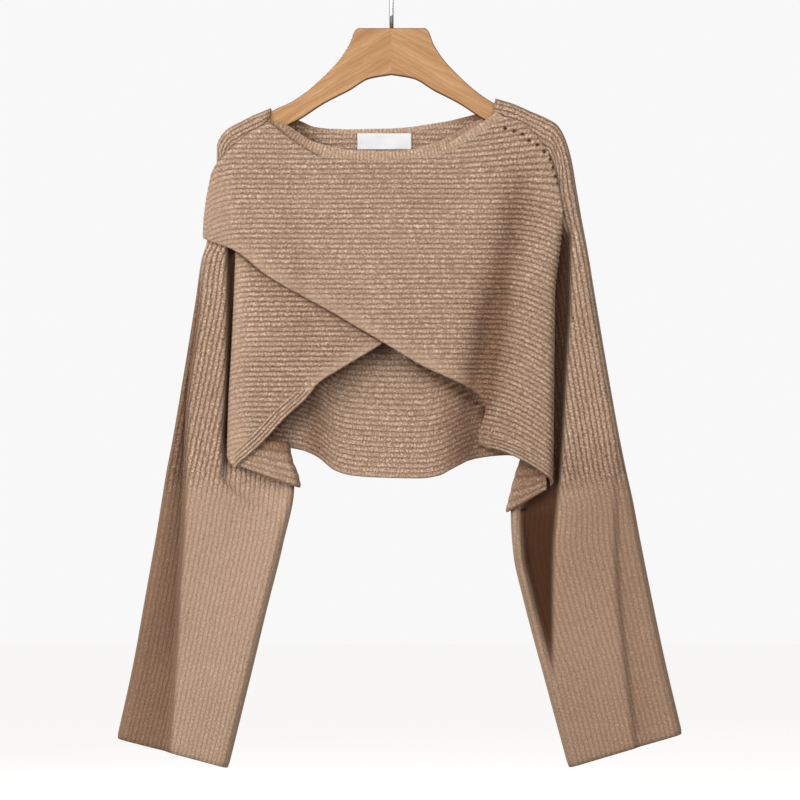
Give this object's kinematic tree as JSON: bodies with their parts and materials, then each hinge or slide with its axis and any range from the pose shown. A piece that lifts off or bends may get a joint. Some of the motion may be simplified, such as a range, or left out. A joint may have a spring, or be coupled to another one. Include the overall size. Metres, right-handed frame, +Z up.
{
  "type": "asymmetric sweater on a wooden hanger",
  "caption": "Cropped rib-knit sweater with a wide neck, crossed slanted fronts and long wide sleeves, hanging on a flat wooden hanger with a wire hook.",
  "frame": {"origin": "the inner top of the hook's wire, where a rail carries the hanger", "axes": "+X to the viewer's right in the picture, +Y away from the viewer from the fronts to the back, +Z up"},
  "size_m": [0.6791, 0.0491, 0.9767],
  "materials": {
    "knit": "ribbed camel knit",
    "label": "bare white woven label",
    "beech": "satin",
    "wire": "bright"
  },
  "bodies": {
    "root": {"back_panel": "knit", "front_under": "knit", "front_over": "knit", "neck_band_back": "knit", "neck_band_under": "knit", "neck_band_over": "knit", "sleeve_left": "knit", "sleeve_right": "knit", "side_gusset_left": "knit", "side_gusset_right": "knit", "label": "label", "hanger": "beech", "hook": "wire"}
  },
  "joints": []
}
